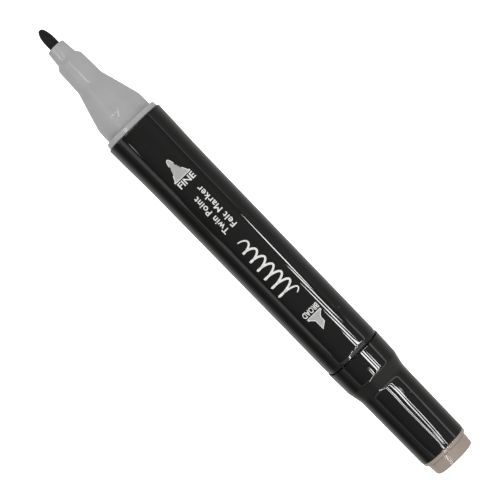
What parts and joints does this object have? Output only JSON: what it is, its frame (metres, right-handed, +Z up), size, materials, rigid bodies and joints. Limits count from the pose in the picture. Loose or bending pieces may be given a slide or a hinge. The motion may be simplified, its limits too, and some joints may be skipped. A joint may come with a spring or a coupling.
{
  "type": "twin-tip felt marker",
  "caption": "Twin-tip felt marker with a rounded-square barrel, a bare bullet nib and a pull-off cap over its chisel nib.",
  "frame": {"origin": "under the middle of the marker's length, on the surface that it lies on", "axes": "+X along the marker from the bare fine nib to the end of the broad cap, +Z up out of the printed face"},
  "size_m": [0.1464, 0.0166, 0.0165],
  "materials": {
    "black_gloss": "glossy moulded black, faint waviness",
    "grey_plastic": "satin moulded light grey",
    "taupe_plastic": "semi-gloss moulded warm grey, the ink's colour code",
    "liner_plastic": "soft waxy natural polyethylene",
    "inked_felt": "pressed felt soaked in dark ink",
    "fibre": "bundled polyester fibre soaked in ink",
    "film": "thin clear film"
  },
  "bodies": {
    "marker_body": {"barrel": "black_gloss", "fine_nozzle": "grey_plastic", "fine_nib": "inked_felt", "broad_nozzle": "grey_plastic", "broad_nib": "inked_felt", "reservoir_core": "fibre", "reservoir_wrap": "film"},
    "broad_cap": {"broad_cap_shell": "black_gloss", "broad_cap_liner": "liner_plastic", "broad_cap_plug": "taupe_plastic"}
  },
  "joints": [
    {"name": "broad_cap_pull", "type": "slide", "parent": "marker_body", "child": "broad_cap", "axis": [1, 0, 0], "range_m": [0, 0.03]}
  ]
}
